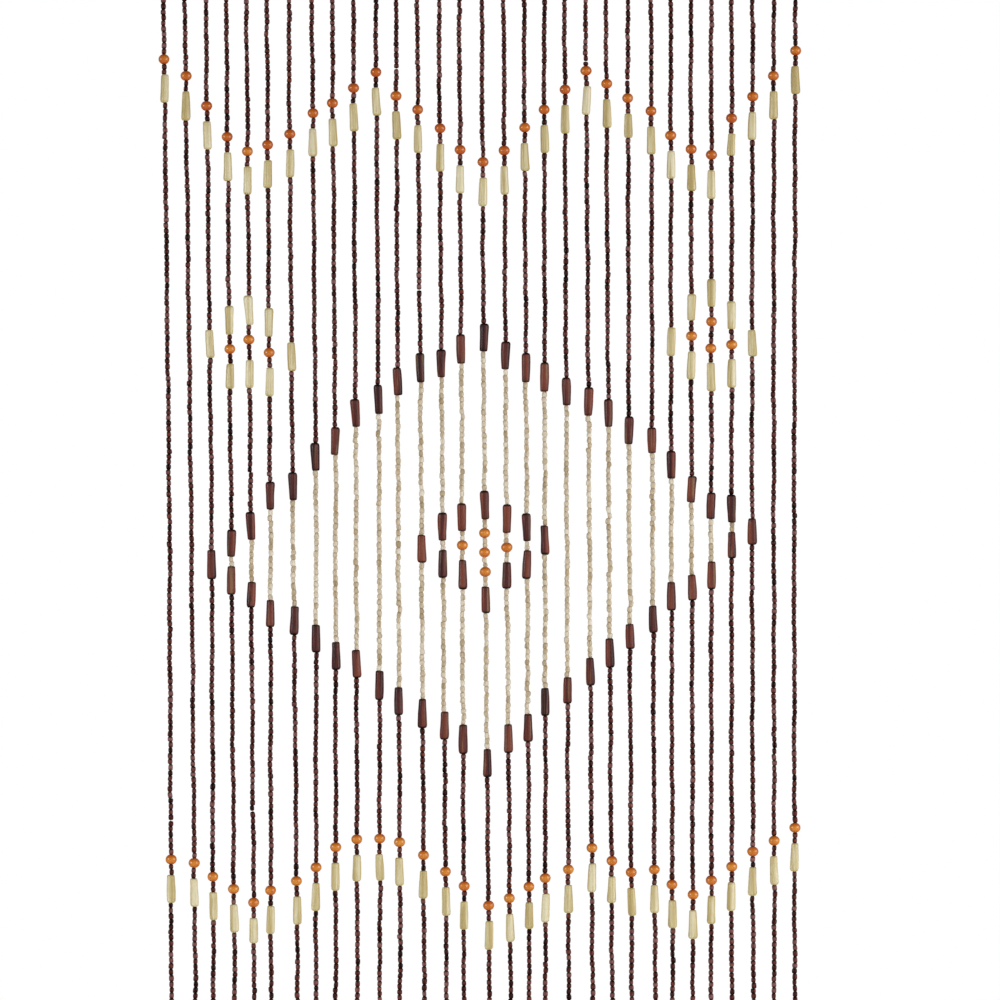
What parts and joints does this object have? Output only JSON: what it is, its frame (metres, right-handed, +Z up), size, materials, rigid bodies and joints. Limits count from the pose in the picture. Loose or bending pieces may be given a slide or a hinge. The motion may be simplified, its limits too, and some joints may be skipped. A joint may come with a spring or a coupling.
{
  "type": "bead curtain",
  "caption": "Doorway curtain of beaded strings hung from a narrow heading tape, with zigzag and diamond motifs in larger tube and ball beads.",
  "frame": {"origin": "middle of the heading tape's top edge, by which the curtain is held up", "axes": "+Z up, the strings hang towards -Z; X along the curtain's width; the face looks towards -Y"},
  "size_m": [0.9, 0.0154, 1.7999],
  "materials": {
    "dark_beads": "small turned wooden beads, stained mahogany to nearly black and varnished, each a little different",
    "pale_beads": "small wooden beads in natural ivory, beige and tan, lightly varnished",
    "amber_balls": "turned wooden balls under an orange gloss lacquer",
    "ivory_tubes": "bamboo tubes of a yellowish ivory, fine grain along them, darker at the rims",
    "brown_tubes": "bamboo tubes stained reddish brown, streaked along the grain, satin varnish, darker at the rims",
    "bead_cord": "thin undyed twine",
    "heading_tape": "plain brown woven cotton tape"
  },
  "bodies": {
    "root": {"bead_strings": "dark_beads"}
  },
  "joints": []
}
